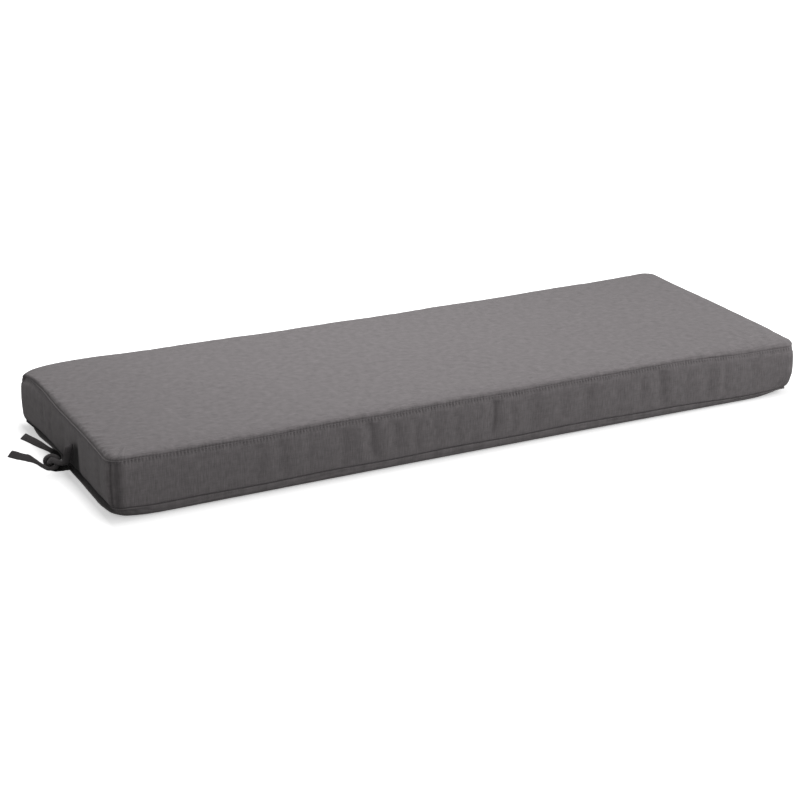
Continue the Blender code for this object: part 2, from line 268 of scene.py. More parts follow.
# inset: mm inside the outline.  share: between floor 0, foot seam 1 and top seam 2.  lift: mm above that.
# steps: how many rows of the mesh it takes to the next turn.  mesh: their spacing.  panel: their cloth.
# follow, fold, pucker, gather, roll: how far the row takes part in how the seams wander, the boxing's folds,
# the stitches' puckers, the gathers that run in from the seam, and the roll of the left end's seam.
# end: mm further inside at the left end, where the foot hides under the boxing and the top seam is a lip.
# dark: how much of its colour the cloth loses to painted shade, down in a seam's groove or under it.
Row = namedtuple(
    "Row", "inset share lift steps mesh panel follow fold pucker gather roll end dark", defaults=[0.0] * 7
)
SECTION = (
    Row(182, 0, 0, 2, COARSE, UNDER),
    Row(60, 0, 0, 2, COARSE, UNDER),
    Row(15, 0, 0, 2, COARSE, UNDER, 0, 0, 0, 0, 0, 2, 0.1),
    Row(4.4, 0, 1.8, 3, MEDIUM, UNDER, 0, 0, 0, 0.3, 0, 0.2, 0.15),
    Row(1.4, 0.50, 0.6, 2, MEDIUM, UNDER, 0.6, 0, 0, 0.6, 0, 2.4),
    Row(0.8, 1, -2.1, 1, MEDIUM, UNDER, 1, 0.1, 0.3, 0.3, 0, 4, 0.1),
    Row(1.2, 1, -0.6, 1, MEDIUM, UNDER, 1, 0.1, 0.2, 0, 0, 4.2, 0.2),
    Row(3.2, 1, 0, 1, MEDIUM, BOXING, 1, 0.1, 0, 0, 0, 3, 0.5),
    Row(1, 1, 0.6, 1, MEDIUM, BOXING, 1, 0.2, 0.2, 0, 0, 3.8, 0.2),
    Row(0.6, 1, 2.3, 2, MEDIUM, BOXING, 1, 0.4, 0.4, 0, 0, 2.6),
    Row(0.1, 1.10, 0, 2, MEDIUM, BOXING, 1, 0.6, 0, 0, 0, 1),
    Row(-0.3, 1.25, 0, 2, MEDIUM, BOXING, 1, 0.8),
    Row(-1, 1.52, 0, 3, MEDIUM, BOXING, 1, 1),
    Row(-0.4, 1.80, 0, 2, MEDIUM, BOXING, 1, 0.8, 0, 0, 0.2),
    Row(0.2, 2, -6.6, 2, FINE, BOXING, 1, 0.6, 0, 0, 0.5, 0.5),
    Row(0.8, 2, -4, 2, FINE, BOXING, 1, 0.4, 0.4, 0, 0.8, 0.3),
    Row(1.4, 2, -2.2, 2, FINE, BOXING, 1, 0.2, 1, 0, 1, -1, 0.1),
    Row(1.8, 2, -0.9, 1, FINE, BOXING, 1, 0.1, 0.8, 0, 1, -2.5, 0.1),
    Row(2.1, 2, -0.2, 1, FINE, BOXING, 1, 0, 0.5, 0, 1, -2.2),
    Row(2.5, 2, -0.1, 1, FINE, TOP, 1, 0, 0.3, 0, 1, -0.9, 0.1),
    Row(2.1, 2, 0.8, 1, FINE, TOP, 1, 0, 0.3, 0.2, 1, -0.7, 0.05),
    Row(2, 2, 2, 1, FINE, TOP, 0.9, 0, 0.2, 0.5, 0.8, -0.4),
    Row(4.6, 2, 4.3, 3, MEDIUM, TOP, 0.65, 0, 0, 1, 0.3),
    Row(13, 2, 5.4, 4, MEDIUM, TOP, 0.28, 0, 0, 1),
    Row(28, 2, 5.95, 2, MEDIUM, TOP, 0, 0, 0, 0.9),
    Row(45, 2, 6.4, 3, COARSE, TOP),
    Row(100, 2, 7.6, 4, COARSE, TOP),
    Row(182, 2, 8.4, 0, COARSE, TOP),
)
measures = [row[:3] + row[6:] for row in SECTION]  # all but the steps, the mesh and the panel
LEVELS, source_row = through_points(measures, [row.steps for row in SECTION[:-1]])
MESH_STEP = np.array([row.mesh for row in SECTION])[source_row]
PANEL = np.array([row.panel for row in SECTION])[source_row]
print("section:", len(LEVELS), "rows from", len(SECTION), "in the table")

# %% [markdown]
# ## Folds, puckers and gathers
#
# Four things break the plain form. The boxing is a little long for the foam, so it stands in upright folds.
# It has an upright join at each corner. The stitches of the top seam pinch the cloth at an even pitch, and
# gathers run from that seam into the top panel. Tables give the front's folds, two folds of the left end and
# the left end's gathers. Seeded dice add folds on the other sides and faint ripples all round.

# %% Folds, puckers and gathers
# at: mm along the side from its middle.  depth, half: mm.  lean: mm that the top stands ahead of the foot.
# bow: mm that the middle stands ahead of both.  low, high: the share of the boxing's height that it spans.
Fold = namedtuple("Fold", "at depth half lean bow low high", defaults=(0, 0.0, 1.0))
FRONT_FOLDS = tuple(Fold(*row) for row in (
    (-440, 0.4, 14, 3), (-329, 1, 12, 3, 1), (-297, 1.3, 11, -4), (-258, 0.6, 8, 2, 0, 0.2),
    (-206, 1.3, 13, -7), (-168, 1.9, 10, -8, 1, 0, 1.1), (-168, 0.7, 3, -8, 1, 0.1, 1.1), (-132, 1.2, 10, -5),
    (-104, 0.7, 6, -3, 0, 0, 0.9), (-72, 0.8, 8, 2, -1, 0.1), (-42, 0.7, 7, -5, 0, 0, 0.9),
    (12, 1.7, 10, 5, 4, 0, 1.1), (13, 0.9, 3, 5, 4, 0.1, 1.1), (44, 0.6, 7, -3, 0, 0.1, 0.9),
    (78, 1.1, 13, -3), (124, 0.6, 8, 3, 0, 0.2), (165, 1.2, 13, 4), (214, 0.5, 9, -4, 0, 0, 0.9),
    (255, 0.9, 7, 3, 0, 0.2), (288, 1.8, 10, -6, 1, 0, 1.1), (332, 0.6, 8, 3, 0, 0, 0.8), (371, 1.2, 11, 4),
    (398, 0.6, 7, -3, 0, 0.1), (450, 0.6, 12, 3),
))
LEFT_FOLDS = (Fold(-48, 1.8, 14, 4, 0, -0.1, 0.8), Fold(-92, 0.9, 12, 0))
FOLD_STRENGTH = 1.5
FOLD_RIDGE, FOLD_RIDGE_SPREAD = 0.35, 2.1  # the wide bell's height and width, as shares of the fold's
FOLD_LEAD, FOLD_EASE = 0.05, 0.2  # how early a fold starts and how fast it fades, in shares
# Folds that are drawn by dice: the space between them and its unevenness, the free ends of a side, and the
# ranges of depth and half width. The lean and the bow go up to the same value either way.
DRAWN_SEED = 11
DRAWN_SPACING, DRAWN_UNEVEN, DRAWN_MARGIN = 0.042, (0.6, 1.6), 0.045
DRAWN_DEPTHS, DRAWN_HALVES, DRAWN_LEAN = (0.3, 1.5), (6, 13), 5


def all_folds():
    """Every fold of the boxing as (place round the outline in m, fold): the tables' folds, the rest drawn."""
    dice = np.random.default_rng(DRAWN_SEED)
    folds = [(place_on(FRONT, fold.at * MM), fold) for fold in FRONT_FOLDS]
    folds += [(place_on(LEFT, fold.at * MM), fold) for fold in LEFT_FOLDS]
    for side, run in ((RIGHT, WIDTH), (BACK, LENGTH), (LEFT, WIDTH)):
        at = -run / 2 + DRAWN_MARGIN
        while at < run / 2 - DRAWN_MARGIN:
            sizes = dice.uniform(*DRAWN_DEPTHS), dice.uniform(*DRAWN_HALVES)
            fold = Fold(at / MM, *sizes, *dice.uniform(-DRAWN_LEAN, DRAWN_LEAN, 2))
            folds.append((place_on(side, at), fold))
            at += DRAWN_SPACING * dice.uniform(*DRAWN_UNEVEN)
    return folds


ALL_FOLDS = all_folds()


def fold_depth(distance, height):
    """How far the boxing is drawn in: for each fold a bell less a low wide bell, which leaves ridges."""
    depth = np.zeros(np.broadcast(distance, height).shape)
    for place, fold in ALL_FOLDS:
        centre = fold.lean * (height - 0.5) + fold.bow * (1.0 - (2.0 * height - 1.0) ** 2)
        across = gap_from(distance, place) / MM - centre
        starting = ramp(fold.low - FOLD_LEAD, fold.low + FOLD_EASE, height)
        span = starting * (1.0 - ramp(fold.high - FOLD_EASE, fold.high, height))
        shape = bump(across, fold.half) - FOLD_RIDGE * bump(across, fold.half * FOLD_RIDGE_SPREAD)
        depth += FOLD_STRENGTH * fold.depth * MM * shape * span
    return depth


CORNER_PLACES = tuple(
    float(STATIONS["distance"][np.flatnonzero((STATIONS["side"] == side) & STATIONS["corner"])[0]])
    + CORNER_RADIUS * math.pi / 4
    for side in range(4)
)


def round_corner(distance, side, half):
    """A bell round the corner at the end of a side, with its half width in mm."""
    return bump(gap_from(distance, CORNER_PLACES[side]) / MM, half)


# Each has its depth and half width in mm, mm from the corner's middle to the right as seen from outside, the
# colour lost there as painted shade, and how many times as wide that is.
JOIN_FORMS = (
    (1.3, 1.3, -2.6, 0.32, 1.3),    # a groove
    (2.2, 5.5, 5.0, 0.34, 1.0),     # a hollow on one side
    (-1.0, 3.0, -7.0, 0.0, 1.0),    # a ridge on the other
)


def join_depth(distance):
    """The boxing's upright joins at the corners, as the sum of a bell for each form.

    Returns how far the cloth is drawn in, and how much painted shade darkens it down in the groove and in the
    hollow.
    """
    depth, dark = np.zeros_like(distance), np.zeros_like(distance)
    for place in CORNER_PLACES:
        across = gap_from(distance, place) / MM
        for most, half, shift, loss, spread in JOIN_FORMS:
            depth += most * MM * bump(across - shift, half)
            dark += loss * bump(across - shift, half * spread)
    return depth, dark


STITCH_PITCH = 0.00465
STITCHES = round(AROUND / STITCH_PITCH)
PUCKER_LONG, PUCKER_SHORT = 0.00045, 0.00015
PUCKER_FADE, PUCKER_FADE_X = 0.65, (0.12, 0.36)  # the share lost along the front, and from where to where
PUCKER_UNEVEN, PUCKER_UNEVEN_SPACING = 0.5, 0.009
PUCKER_SHIFT, PUCKER_SHIFT_SPACING = 0.12, 0.013


def pucker_depth(distance, side, x):
    """The stitches' pinch: a cosine that draws the cloth in at each needle hole and lets it out between two.

    It is uneven in strength, fades along the front, and is weak at the short ends.
    """
    fading = PUCKER_FADE * ramp(*PUCKER_FADE_X, x) * (side == FRONT)
    most = PUCKER_SHORT + (PUCKER_LONG - PUCKER_SHORT) * ((side % 2 == 0) * (1.0 - fading))
    uneven = 1.0 + PUCKER_UNEVEN * wander(distance, PUCKER_UNEVEN_SPACING, seed=21, around=AROUND)
    shift = PUCKER_SHIFT * wander(distance, PUCKER_SHIFT_SPACING, seed=22, around=AROUND)
    return most * uneven * np.cos(2 * math.pi * (STITCHES * distance / AROUND + shift))


# at: mm from the middle of the left end towards the back.  length, height, half: mm.
Gather = namedtuple("Gather", "at length height half")
LEFT_GATHERS = tuple(Gather(*row) for row in (
    (138, 30, 0.5, 4), (121, 34, 0.8, 3.6), (104, 26, 0.7, 3), (64, 30, 0.8, 3.6), (46, 24, 0.7, 3),
    (28, 38, 1.1, 3.6), (2, 32, 1, 3.2), (-12, 26, 0.8, 2.8), (-27, 44, 1.2, 3.8), (-56, 36, 1.2, 3.4),
    (-70, 26, 0.9, 2.8), (-84, 46, 1.3, 3.6), (-107, 36, 1.3, 3.4), (-120, 28, 1.1, 2.8),
    (-133, 30, 1.5, 3.2), (-147, 26, 1.6, 3), (-159, 24, 1.7, 2.8), (-170, 22, 1.6, 2.6),
))
GATHER_SLANT = -0.45  # what they run in Y for each step inwards, so towards the front
GATHER_FULL = 0.3  # the share of its length in which a gather keeps its height


def left_gather_height(x, y):
    """The left end's gathers: low ridges that start at the seam, run in slanting, and fade out."""
    inward = (x + LENGTH / 2) / MM
    height = np.zeros_like(x)
    for gather in LEFT_GATHERS:
        across = y / MM - gather.at - GATHER_SLANT * inward
        reach = 1.0 - ramp(GATHER_FULL * gather.length, gather.length, inward)
        height += gather.height * MM * bump(across, gather.half) * reach
    return height


RIPPLE_PITCH, RIPPLE_PATCH = 0.022, 0.05
RIPPLE_END, RIPPLE_LONG, RIPPLE_CORNER = 0.0014, 0.0003, 0.0016
RIPPLE_REACH, RIPPLE_CORNER_REACH = 0.030, 0.014  # the inset over which they fade
RIPPLE_CORNER_HALF = 26.0  # mm round the front's left corner
SMOOTH_CORNER = (20.0, 60.0)  # mm from the back's left corner: none, and all


def ripple_height(distance, side, inset):
    """Uneven ripples square to the seam: faint all round, plainer on the left end and at its front corner."""
    ripple = wander(distance, RIPPLE_PITCH / 2, seed=31, around=AROUND)
    fine = wander(distance, RIPPLE_PITCH / 4, seed=32, around=AROUND)
    patchy = 0.6 + 0.4 * wander(distance, RIPPLE_PATCH, seed=33, around=AROUND)
    near_corner = round_corner(distance, LEFT, RIPPLE_CORNER_HALF)
    from_back = np.abs(gap_from(distance, CORNER_PLACES[BACK])) / MM
    most = np.where(side == LEFT, RIPPLE_END, RIPPLE_LONG) * ramp(*SMOOTH_CORNER, from_back)
    at_corner = RIPPLE_CORNER * near_corner * (0.5 * ripple + 0.5 * fine) * bump(inset, RIPPLE_CORNER_REACH)
    return most * ripple * patchy * bump(inset, RIPPLE_REACH) + at_corner


# %% [markdown]
# ## Where little light comes in
#
# Behind the ties' arch and inside the knot almost no light arrives, and the photo shows nearly black cloth.
# Nine round spots in the knot's own frame give how much of its colour the cloth loses there, as painted
# shade. Both the straps and the end of the cover read them.

# %% Where little light comes in
TIE_PLACE = -0.0215  # the Y of the ties' middle where they are sewn in
CLEARANCE = 0.0003  # the gap between the straps and the cushion's end
# out, along, up: mm out of the cushion's end, towards its back and above the floor.  half: mm.  dark: share.
Spot = namedtuple("Spot", "out along up half dark")
# Spots of painted shade round the knot.
PAINTED_SHADE_SPOTS = tuple(Spot(*row) for row in (
    (0, -31, 46, 9, 0.85), (0, -27, 33, 11, 0.85), (1, -17, 20, 12, 0.90), (1, -30, 14, 9, 0.55),
    (5, 3, 10, 11, 1), (14, 11, 8, 8, 1), (16, 15, 20, 8, 0.90), (8, 26, 19, 10, 0.95), (12, 33, 25, 8, 0.60),
))
# The most painted shade that any place gets, from the spots and all else together.
MOST_PAINTED_SHADE = 0.92
END_INSET = 0.6 * MM  # of the boxing's row just above the foot seam


def end_face_x():
    """The X of the cushion's left end beside the foot seam, in the middle of the ties' place."""
    half = LENGTH / 2 - END_INSET
    run = TIE_PLACE / (WIDTH / 2 - END_INSET)
    return -(half - DRAW_IN * (1.0 - run**2) * (1.0 - END_INSET / DRAW_IN_REACH))


def knot_painted_shade(x, y, z):
    """How much painted shade darkens the cloth at a place near the knot: the sum of a bell for each spot, up
    to a limit.
    """
    out, along, up = (end_face_x() - x) / MM, (y - TIE_PLACE) / MM, z / MM
    total = np.zeros(np.shape(x))
    for spot in PAINTED_SHADE_SPOTS:
        squares = (out - spot.out) ** 2 + (along - spot.along) ** 2 + (up - spot.up) ** 2
        total += spot.dark * bump(np.sqrt(squares), spot.half)
    return np.clip(total, 0.0, MOST_PAINTED_SHADE)


# %% [markdown]
# ## How the seams wander
#
# Towards the front's right end the top panel rolls over the edge and takes its seam down with it. At the
# left end the boxing rolls over the edge in its back third instead, so the seam moves in. The top seam hangs
# below its corners along the front and along the back. The foot seam dips at each corner where the panel
# turns, but rises at the front's left one. Three corners are pushed in at the foot, and two are soft on top.

# %% How the seams wander
# Lengths are in metres. A pair is where something starts and where it is full.
ROLL_X, ROLL_DEPTH = (0.20, 0.45), 0.25  # of the front's right end: its X, and its share of the width
ROLL_DROP, FOOT_ROLL_DROP = 0.0052, 0.0045
SEAM_WAVE, SEAM_WAVE_LENGTH = 0.0006, 0.19
BACK_SAG, SAG_START = 0.0032, -0.2  # the most, and the share of the width where it starts
BACK_RISE, BACK_RISE_Y = 0.0018, (-0.08, 0.10)
FRONT_SAG, FRONT_SAG_Y = 0.0032, (0.15, 0.185)
FRONT_SAG_X, FRONT_SAG_END_X = (-0.515, -0.43), (0.15, 0.33)
LEFT_ROLL, LEFT_ROLL_Y = 0.0034, (0.02, 0.12)
CORNER_DIP, CORNER_DIP_HALF = 0.0016, 12.0  # half widths round a corner are in mm
CORNER_RISE, CORNER_RISE_HALF = 0.0046, 36.0
LEFT_TUCK, LEFT_TUCK_AT, LEFT_TUCK_HALF = 0.0045, 0.082, 0.045  # of the left end's foot, its Y and half width
LEFT_TUCK_END = (0.85, 1.05)  # the shares of the height over which it ends
END_FADE_Y, UNDERCUT_FADE = (0.10, 0.165), 0.7  # where the left end's lip fades, and the undercut by a share
SWELL, SWELL_SPACING, SWELL_INSET = 0.0007, 0.09, (3.0, 40.0)  # the inset is in mm
# The folds' valleys get painted shade, darker where a fold is deeper.
VALLEY_DARK, VALLEY_LIMIT = 0.06, 2.0  # colour lost for each mm of depth in a fold, up to so many mm
# Painted shade on the strip under the left end, where the overhanging boxing keeps the light off.
LEFT_FOOT_DARK = 0.74  # colour lost on the strip under the left end, where the boxing overhangs it
LEFT_FOOT_Y, LEFT_FOOT_START, LEFT_FOOT_END = (-0.182, -0.164), (0.05, 0.5), (1.0, 1.12)


def seam_drop(x, y, most):
    """How far a seam comes down: eased in towards the front's right end, plus a slow wave all round."""
    near_front = ramp(WIDTH * ROLL_DEPTH, WIDTH / 2 - CORNER_RADIUS, -y)
    wave = SEAM_WAVE * np.sin(2 * math.pi * (x - y) / SEAM_WAVE_LENGTH)
    return most * near_front * ramp(*ROLL_X, x) + wave


def front_sag(x, y):
    """How far the front's top seam hangs below its corners: eased in from the left, out to the right."""
    return FRONT_SAG * ramp(*FRONT_SAG_Y, -y) * ramp(*FRONT_SAG_X, x) * (1.0 - ramp(*FRONT_SAG_END_X, x))


def back_sag(x, y):
    """How far the top sinks: 1 - run^2 of its most along the back, less towards the front, less a rise."""
    run = np.minimum(np.abs(x) / (LENGTH / 2), 1.0)
    sag = BACK_SAG * (1.0 - run**2) * ramp(SAG_START * WIDTH, WIDTH / 2, y)
    return sag - BACK_RISE * ramp(*BACK_RISE_Y, y)


# Soft corners: place in plan as signs of x and y, mm that the top drops there, and mm in which that fades.
SOFT_CORNERS = (((-1, 1), 13.0, 24.0), ((1, -1), 4.0, 75.0))
# Corners that are pushed in at the foot, each at the end of a side: mm in, the share of the height that this
# reaches up to, mm that the waist stands out instead, and mm round the corner.
Pull = namedtuple("Pull", "side foot until waist half")
CORNER_PULLS = (
    Pull(FRONT, 10.5, 1.25, 2.0, 32.0),
    Pull(BACK, 6.0, 1.03, 1.8, 34.0),
    Pull(LEFT, 5.6, 0.95, 0.0, 27.0),
)
# Shares of the height: where the push starts to fade, how far before its end the waist starts and how far
# after it the waist is full, and where the waist ends.
PUSH_FADE, WAIST_BEFORE, WAIST_AFTER, WAIST_END = 0.8, 0.05, 0.15, (1.85, 2.15)


def corner_drop(x, y):
    """How far the top comes down at the two soft corners: it fades by a constant share with the distance."""
    drop = np.zeros_like(x)
    for (sign_x, sign_y), most, fading in SOFT_CORNERS:
        away = np.hypot(x - sign_x * LENGTH / 2, y - sign_y * WIDTH / 2) / MM
        drop += most * MM * np.exp(-away / fading)
    return drop


def corner_pull(distance, share):
    """How far a corner is drawn in: a bell round it for each pull, in at the foot and out at the waist."""
    inward = np.zeros_like(distance)
    for pull in CORNER_PULLS:
        at_foot = 1.0 - ramp(PUSH_FADE, pull.until, share)
        at_waist = ramp(pull.until - WAIST_BEFORE, pull.until + WAIST_AFTER, share)
        at_waist = at_waist * (1.0 - ramp(*WAIST_END, share))
        bell = round_corner(distance, pull.side, pull.half)
        inward += (pull.foot * at_foot - pull.waist * at_waist) * MM * bell
    return inward


def row_points(level, pick):
    """One row of the cover: the outline at the row's inset and height, with all that breaks the plain form.

    Returns the points and how dark the cloth is at each, as painted shade.
    """
    inset, share, lift, follow, fold, pucker, gather, roll, end, dark = level
    distance, side, out = (STATIONS[name][pick] for name in ("distance", "side", "out"))
    x, y = outline(inset * MM, FOOT_ROUNDING * max(0.0, 1.0 - share))[pick].T
    corner_dip = sum(round_corner(distance, corner, CORNER_DIP_HALF) for corner in range(4))
    corner_rise = CORNER_RISE * round_corner(distance, LEFT, CORNER_RISE_HALF)
    top = TOP_SEAM - follow * (seam_drop(x, y, ROLL_DROP) + front_sag(x, y))
    top = top - back_sag(x, y) - corner_drop(x, y)
    foot = FOOT_SEAM - follow * (seam_drop(x, y, FOOT_ROLL_DROP) + CORNER_DIP * corner_dip - corner_rise)
    z = foot * share if share <= 1.0 else foot + (top - foot) * (share - 1.0)
    z = z + lift * MM
    join, join_dark = join_depth(distance)
    folded = fold_depth(distance, share - 1.0)
    join_share = min(2.0 * fold, 1.0)
    inward = fold * folded + join_share * join + corner_pull(distance, share)
    inward = inward + pucker * pucker_depth(distance, side, x)
    inward = inward + roll * LEFT_ROLL * (side == LEFT) * ramp(*LEFT_ROLL_Y, y)
    at_left = np.clip(-out[:, 0], 0.0, 1.0)
    fade = 1.0 - ramp(*END_FADE_Y, y) * (1.0 if end < 0.0 else UNDERCUT_FADE * (share >= 1.0))
    tuck = LEFT_TUCK * bump(y - LEFT_TUCK_AT, LEFT_TUCK_HALF) * (1.0 - ramp(*LEFT_TUCK_END, share))
    inward = inward + at_left * (end * MM * fade + tuck)
    z = z + gather * ripple_height(distance, side, inset * MM)
    if share >= 2.0:
        z = z + gather * left_gather_height(x, y)
        z = z + SWELL * ramp(*SWELL_INSET, inset) * drift(x, y, SWELL_SPACING, seed=41)
    # All of this darkness is painted shade: in the seams' grooves, the corner joins and the folds' valleys,
    # under the left end's boxing and round the knot.
    shade = dark + join_share * (join_dark + VALLEY_DARK * np.clip(folded / MM, 0.0, VALLEY_LIMIT))
    under_left = at_left * ramp(*LEFT_FOOT_Y, y) * ramp(*LEFT_FOOT_START, share)
    shade = shade + LEFT_FOOT_DARK * (under_left * (1.0 - ramp(*LEFT_FOOT_END, share)))
    points = np.column_stack([x - out[:, 0] * inward, y - out[:, 1] * inward, z])
    return points, np.clip(shade + knot_painted_shade(*points.T), 0.0, MOST_PAINTED_SHADE)


# %% [markdown]
# ## Sewing the rows into one closed cover
#
# Neighbouring rows are joined by quads, or by fans of three triangles where the mesh gets twice as fine. The
# middle of the top and of the underside is a long narrow ring: its front is joined straight across to its
# back, and a small face closes each end. The cloth's own coordinates go into a UV map in metres: round and
# up on the boxing, plain Y and X on the panels, so that the weave breaks at the seams as sewn cloth does.

# %% Sewing the rows into one closed cover
def strip_faces(lower, upper):
    """Faces between two rows of vertex numbers: quads, or fans of three where one is twice as fine."""
    if len(lower) < len(upper):
        return [block[:, ::-1] for block in strip_faces(upper, lower)]
    upper_next = np.roll(upper, -1)
    if len(lower) == len(upper):
        return [np.stack([lower, np.roll(lower, -1), upper_next, upper], axis=1)]
    even, odd, last = lower[::2], lower[1::2], np.roll(lower, -2)[::2]
    fans = (even, odd, upper), (odd, upper_next, upper), (odd, last, upper_next)
    return [np.stack(fan, axis=1) for fan in fans]


def cap_faces(ring, faces_up):
    """Faces inside a narrow ring: quads straight across from front to back, and one face at each end."""
    long, short, arc = (steps // COARSE for steps in (LONG_STEPS, SHORT_STEPS, ARC_STEPS))
    back_start = long + 2 * arc + short
    front = ring[: long + 1]
    back = ring[back_start : back_start + long + 1][::-1]
    across = np.stack([front[:-1], front[1:], back[1:], back[:-1]], axis=1)
    right_end = ring[long : back_start + 1]
    left_end = np.append(ring[back_start + long :], ring[0])
    faces = [across, right_end[None, :], left_end[None, :]]
    return faces if faces_up else [face[:, ::-1] for face in faces]


def mesh_object(name, points, faces, uvs, material, dark=None):
    """A mesh from points, face arrays, matching arrays of UV coordinates and a painted shade for each point.
    """
    data = bpy.data.meshes.new(name)
    data.from_pydata(points.tolist(), [], [face for block in faces for face in block.tolist()])
    layer = data.uv_layers.new(name="cloth")
    layer.data.foreach_set("uv", np.concatenate([block.reshape(-1) for block in uvs]).astype(np.float32))
    if dark is not None:
        data.attributes.new("dark", "FLOAT", "POINT").data.foreach_set("value", dark.astype(np.float32))
    data.shade_smooth()
    data.materials.append(material)
    obj = bpy.data.objects.new(name, data)
    bpy.context.scene.collection.objects.link(obj)
    return obj


def make_cover(material):
    """All the rows as one closed mesh, from the middle of the underside to the middle of the top."""
    rows, darks, numbers, faces, uvs, total = [], [], [], [], [], 0
    for level, step in zip(LEVELS, MESH_STEP):
        pick = np.arange(0, len(STATIONS["side"]), step)
        points, dark = row_points(level, pick)
        rows.append(points)
        darks.append(dark)
        numbers.append(total + np.arange(len(pick)))
        total += len(pick)
    points = np.concatenate(rows)
    round_and_up = np.column_stack([
        np.concatenate([STATIONS["distance"][::step] for step in MESH_STEP]), points[:, 2],
    ])
    for lower, upper, panel in zip(numbers, numbers[1:], PANEL):
        for block in strip_faces(lower, upper):
            faces.append(block)
            uv = round_and_up[block] if panel == BOXING else points[:, (1, 0)][block]
            wrapped = np.ptp(uv[..., 0], axis=1, keepdims=True) > AROUND / 2
            uv[..., 0] += AROUND * (wrapped & (uv[..., 0] < AROUND / 2))
            uvs.append(uv)
    for ring, faces_up in ((numbers[0], False), (numbers[-1], True)):
        for block in cap_faces(ring, faces_up):
            faces.append(block)
            uvs.append(points[:, (1, 0)][block])
    return mesh_object("cushion_cover", points, faces, uvs, material, np.concatenate(darks))


# %% [markdown]
# ## The cloth
#
# Cover and ties are a matte woven cloth. One node group makes the weave for both: two rounded threads that
# take turns on top, slubs that run along each thread, and soft patches where the dye took unevenly. It puts
# out a colour factor and a height; in the colour each thread is lighter on its crest and darker where it
# dips, as painted shade. Each material then has its own grey, its own thread size and a little sheen from the
# loose fibres.

# %% The cloth
def new_group(name, inputs, outputs):
    """An empty shader node group with named float inputs and outputs."""
    group = bpy.data.node_groups.new(name, "ShaderNodeTree")
    for labels, way in ((inputs, "INPUT"), (outputs, "OUTPUT")):
        for label in labels:
            group.interface.new_socket(name=label, in_out=way, socket_type="NodeSocketFloat")
    return group, group.nodes.new("NodeGroupInput"), group.nodes.new("NodeGroupOutput")


def set_inputs(node, values):
    """Sets the inputs of a node by their names."""
    for label, value in values.items():
        node.inputs[label].default_value = value


def math_node(tree, operation, *values):
    """A Math node fed by numbers or by other nodes' outputs; returns its output."""
    node = tree.nodes.new("ShaderNodeMath")
    node.operation = operation
    for socket, value in zip(node.inputs, values):
        if isinstance(value, bpy.types.NodeSocket):
            tree.links.new(value, socket)
        else:
            socket.default_value = value
    return node.outputs[0]


def noise_node(tree, u, v, detail):
    """Noise, from 0 to 1, at a place given by two values."""
    place = tree.nodes.new("ShaderNodeCombineXYZ")
    tree.links.new(u, place.inputs[0])
    tree.links.new(v, place.inputs[1])
    noise = tree.nodes.new("ShaderNodeTexNoise")
    noise.noise_dimensions = "2D"
    set_inputs(noise, {"Scale": 1.0, "Detail": detail})
    tree.links.new(place.outputs[0], noise.inputs["Vector"])
    return noise.outputs[0]


# SLUB_ACROSS and SLUB_ALONG, and PATCH_STEP: how far the noise goes on from one thread to the next.
WEAVE_INPUTS = ("Threads per metre", "Thread contrast", "Slub contrast", "Patch contrast")
CROSSING = 1.5  # how sharply one thread takes the top from the other
THREAD_MEAN = 0.7  # what a thread's shade is on the whole
SLUB_ACROSS, SLUB_ALONG = 0.9, 0.07
SLUB_SHARES = (1.4, 0.6)  # of the two threads' slubs, whose noise is 0.5 on the whole
SLUB_RELIEF = 0.5
PATCH_STEP = 0.12
SLUB_DETAIL, PATCH_DETAIL = 2.0, 5.0


def make_weave_group():
    """Plain weave: |sin| of each thread across itself, mixed by the two waves' product, plus uneven dye."""
    group, given, made = new_group("plain_weave", WEAVE_INPUTS, ("Shade", "Height"))

    def calc(operation, *values):
        return math_node(group, operation, *values)

    def noise(step_u, step_v, detail):
        return noise_node(group, calc("MULTIPLY", u, step_u), calc("MULTIPLY", v, step_v), detail)

    uv = group.nodes.new("ShaderNodeUVMap")
    uv.uv_map = "cloth"
    split = group.nodes.new("ShaderNodeSeparateXYZ")
    group.links.new(uv.outputs[0], split.inputs[0])
    threads, *contrasts = (given.outputs[label] for label in WEAVE_INPUTS)
    u, v = (calc("MULTIPLY", split.outputs[axis], threads) for axis in (0, 1))
    wave_u, wave_v = (calc("SINE", calc("MULTIPLY", place, math.pi)) for place in (u, v))
    on_top = calc("MULTIPLY_ADD", calc("MULTIPLY", wave_u, wave_v), CROSSING, 0.5)
    on_top = calc("MINIMUM", calc("MAXIMUM", on_top, 0.0), 1.0)
    warp = calc("MULTIPLY", calc("ABSOLUTE", wave_u), on_top)
    weft = calc("MULTIPLY", calc("ABSOLUTE", wave_v), calc("SUBTRACT", 1.0, on_top))
    thread = calc("ADD", warp, weft)
    slub = calc("MULTIPLY", noise(SLUB_ALONG, SLUB_ACROSS, SLUB_DETAIL), SLUB_SHARES[1])
    slub = calc("MULTIPLY_ADD", noise(SLUB_ACROSS, SLUB_ALONG, SLUB_DETAIL), SLUB_SHARES[0], slub)
    slub = calc("SUBTRACT", slub, 1.0)
    patch = calc("SUBTRACT", noise(PATCH_STEP, PATCH_STEP, PATCH_DETAIL), 0.5)
    # The threads' part of this is painted shade, lighter on each thread's crest and darker where it dips; the
    # slubs and patches are the cloth's own uneven tone.
    shade = 0.0
    for part, contrast in zip((calc("SUBTRACT", thread, THREAD_MEAN), slub, patch), contrasts):
        shade = calc("MULTIPLY_ADD", part, contrast, shade)
    group.links.new(calc("ADD", shade, 1.0), made.inputs["Shade"])
    group.links.new(calc("MULTIPLY_ADD", slub, SLUB_RELIEF, thread), made.inputs["Height"])
    return group


